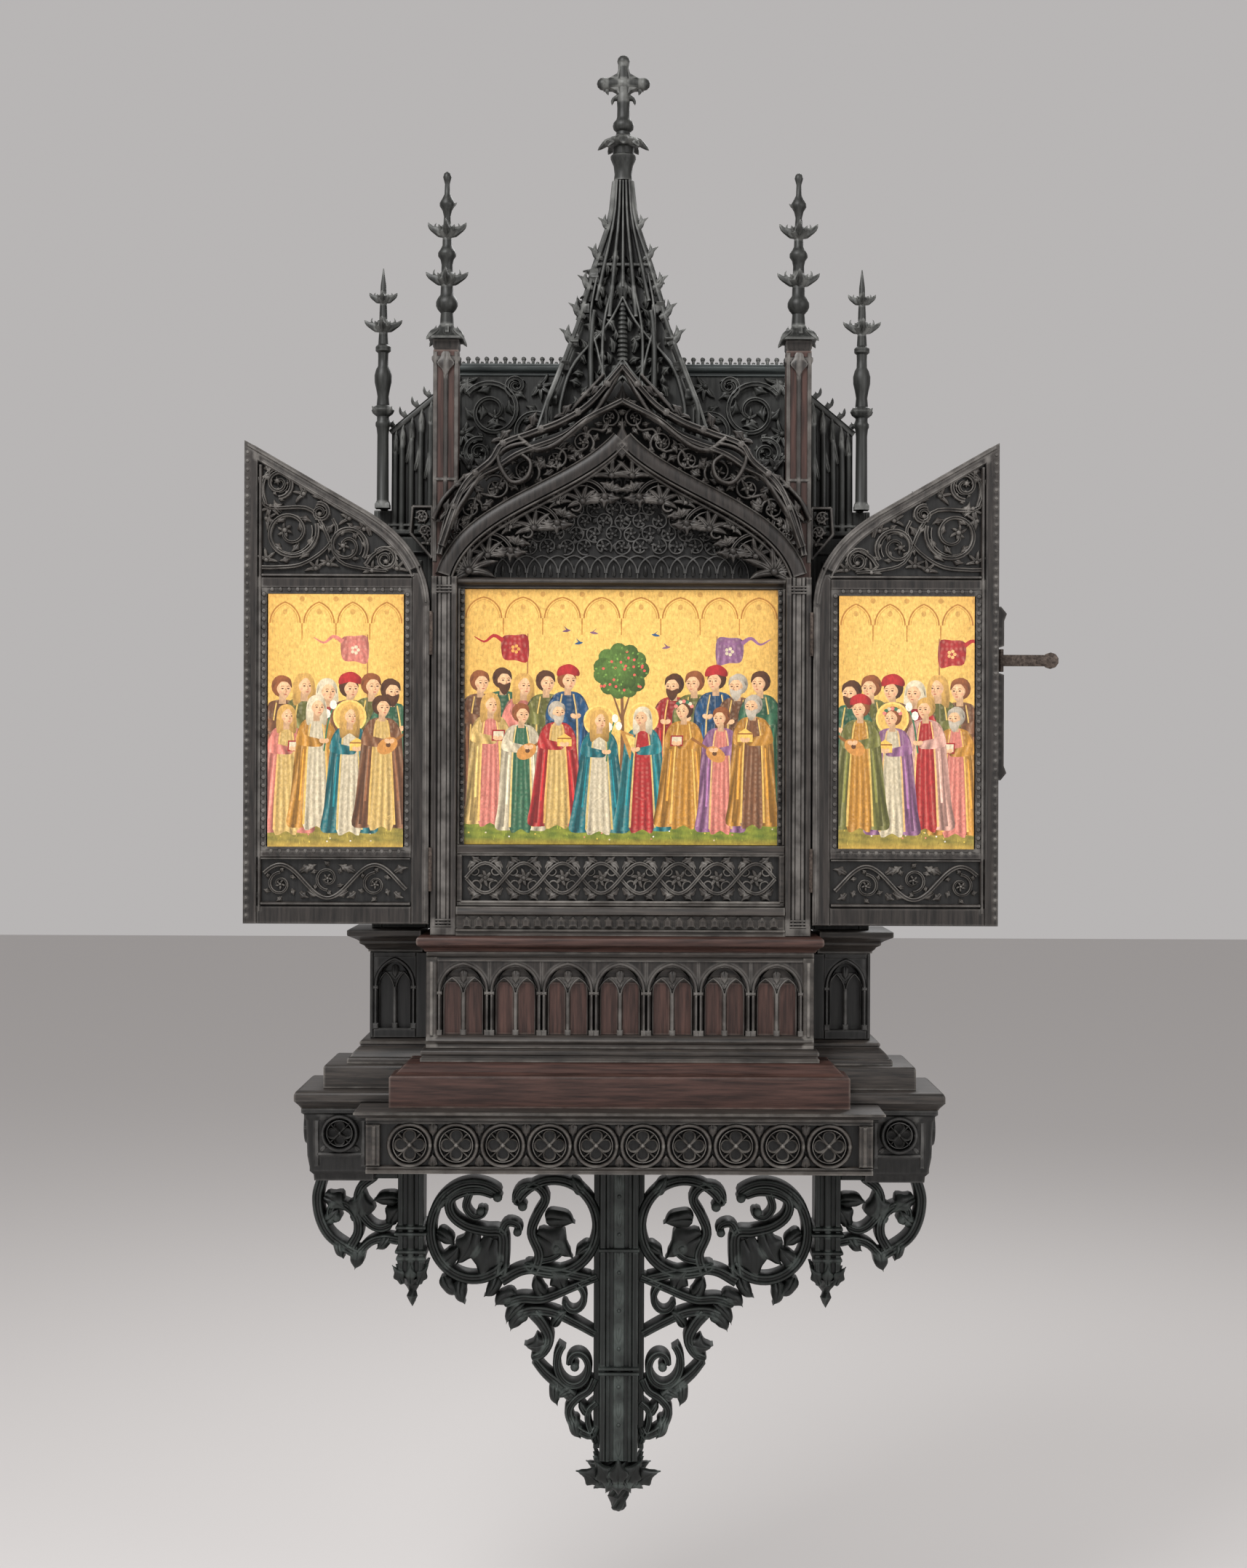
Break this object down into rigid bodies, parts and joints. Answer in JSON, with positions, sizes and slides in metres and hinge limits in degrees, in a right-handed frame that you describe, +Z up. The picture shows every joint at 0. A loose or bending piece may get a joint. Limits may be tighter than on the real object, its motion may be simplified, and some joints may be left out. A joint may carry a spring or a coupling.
{
  "type": "triptych altarpiece on a wall console",
  "caption": "Neo-Gothic carved oak wall altarpiece: painted centre panel, two hinged painted wings, pierced spire and pinnacles, on a carved scroll console.",
  "frame": {"origin": "on the wall plane at the back of the console's frieze, on the centre line, level with the middle of its roundels", "axes": "+X to the viewer's right, -Y out of the wall towards the viewer, +Z up"},
  "size_m": [0.7896, 0.18, 1.4575],
  "materials": {
    "oak": "dark stained and waxed oak, grey on its raised edges",
    "oak_red": "dark oak with a red-brown stain, waxed",
    "oak_bracket": "nearly black stained oak, slightly greenish",
    "painting": "painted panel with a gold ground under varnish",
    "iron": "dark wrought iron"
  },
  "bodies": {
    "root": {"console_centre_post": "oak_bracket", "console_pendant_left": "oak_bracket", "console_pendant_right": "oak_bracket", "console_scroll_panel_left": "oak_bracket", "console_scroll_panel_right": "oak_bracket", "console_outer_scroll_left": "oak_bracket", "console_outer_scroll_right": "oak_bracket", "console_frieze": "oak", "console_end_box_left": "oak", "console_end_box_right": "oak", "console_shelf": "oak", "plinth": "oak_red", "base_moulding": "oak", "predella_centre": "oak", "predella_side_left": "oak", "predella_side_right": "oak", "predella_cornice": "oak_red", "side_bay_ledge_left": "oak", "side_bay_ledge_right": "oak", "cabinet_bottom_rail": "oak", "cabinet_back_board": "oak", "corner_post_left": "oak_red", "corner_post_right": "oak_red", "cabinet_side_wall_left": "oak", "cabinet_side_wall_right": "oak", "side_bay_left": "oak", "side_bay_right": "oak", "cabinet_roof_board": "oak", "centre_picture": "painting", "bead_column_left": "oak", "bead_column_right": "oak", "picture_head_rail": "oak", "lower_frieze": "oak", "tympanum": "oak", "arch_half_left": "oak", "arch_half_right": "oak", "gable_half_left": "oak", "gable_half_right": "oak", "cusping_left": "oak", "cusping_right": "oak", "back_screen": "oak", "spire": "oak", "cross_finial": "oak", "tall_pinnacle_left": "oak", "tall_pinnacle_right": "oak", "low_pinnacle_left": "oak", "low_pinnacle_right": "oak"},
    "left_wing": {"wing_left": "oak", "wing_picture_left": "painting", "hinge_lower_left": "iron", "hinge_upper_left": "iron"},
    "right_wing": {"wing_right": "oak", "wing_picture_right": "painting", "hinge_lower_right": "iron", "hinge_upper_right": "iron", "closing_strip": "oak"},
    "hasp": {"hasp": "iron"}
  },
  "joints": [
    {"name": "left_wing_hinge", "type": "hinge", "parent": "root", "child": "left_wing", "pos_m": [-0.183, -0.1315, 0.44], "axis": [0, 0, 1], "range_deg": [0, 180]},
    {"name": "right_wing_hinge", "type": "hinge", "parent": "root", "child": "right_wing", "pos_m": [0.183, -0.1315, 0.44], "axis": [0, 0, -1], "range_deg": [0, 180]},
    {"name": "hasp_hinge", "type": "hinge", "parent": "right_wing", "child": "hasp", "pos_m": [0.3698, -0.108, 0.4667], "axis": [0, 0, 1], "range_deg": [0, 100]}
  ]
}
